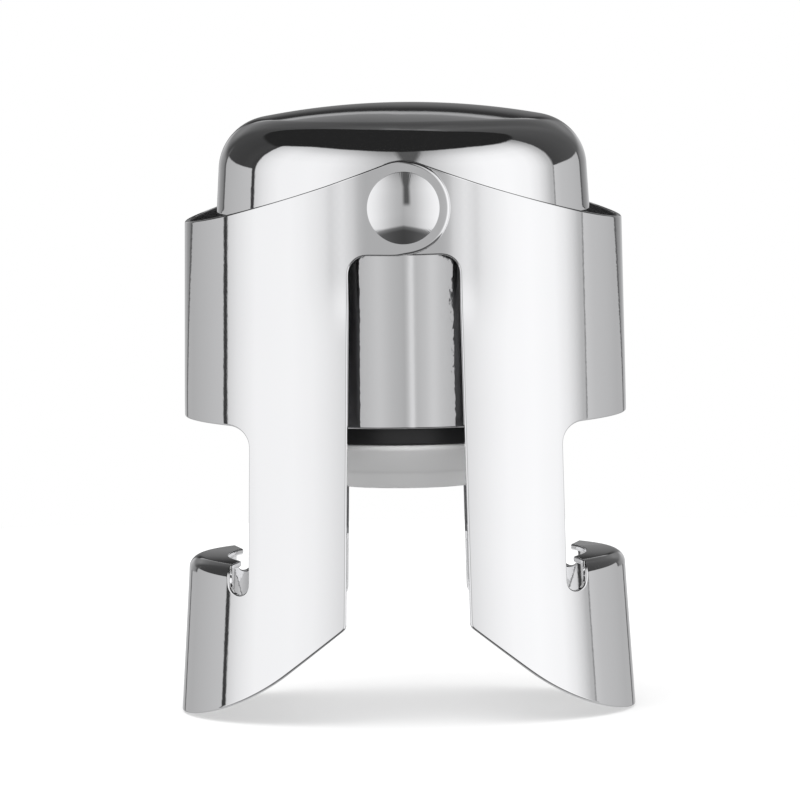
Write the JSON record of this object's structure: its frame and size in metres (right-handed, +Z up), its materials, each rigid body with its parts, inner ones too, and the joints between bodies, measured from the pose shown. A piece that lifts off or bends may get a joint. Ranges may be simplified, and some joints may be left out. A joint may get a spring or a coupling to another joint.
{
  "type": "champagne stopper",
  "caption": "Chromed bottle stopper: a domed cap with hinged half-round arms whose lips hook under the bottle's collar, and a sprung seal in a sleeve",
  "frame": {"origin": "centre of the bounding box's bottom face, on the surface that the arms stand on", "axes": "+Z up through the cap, +Y from front to rear along the rivets, +X to the right arm"},
  "size_m": [0.046, 0.0478, 0.0613],
  "materials": {
    "chrome": "mirror-bright chrome plate on steel",
    "black_plastic": "moulded, slightly satin",
    "spring_steel": "plain drawn wire and strip",
    "grey_silicone": "soft, translucent, satin"
  },
  "bodies": {
    "head": {"cap": "chrome", "core": "black_plastic", "sleeve": "chrome", "spring": "spring_steel", "rivets": "chrome", "spacers": "black_plastic"},
    "plunger_unit": {"plunger": "black_plastic", "retaining_clip": "spring_steel", "seal": "grey_silicone"},
    "left_wing": {"left_arm": "chrome"},
    "right_wing": {"right_arm": "chrome"}
  },
  "joints": [
    {"name": "left_arm_hinge", "type": "hinge", "parent": "head", "child": "left_wing", "pos_m": [0, 0, 0.05179], "axis": [0, 1, 0], "range_deg": [-5, 88]},
    {"name": "right_arm_hinge", "type": "hinge", "parent": "head", "child": "right_wing", "pos_m": [0, 0, 0.05179], "axis": [0, -1, 0], "range_deg": [-5, 88]},
    {"name": "plunger_slide", "type": "slide", "parent": "head", "child": "plunger_unit", "axis": [0, 0, 1], "range_m": [0, 0.007], "stiffness_N_per_m": 600, "springref_m": -0.002, "deforming": ["spring"]}
  ]
}
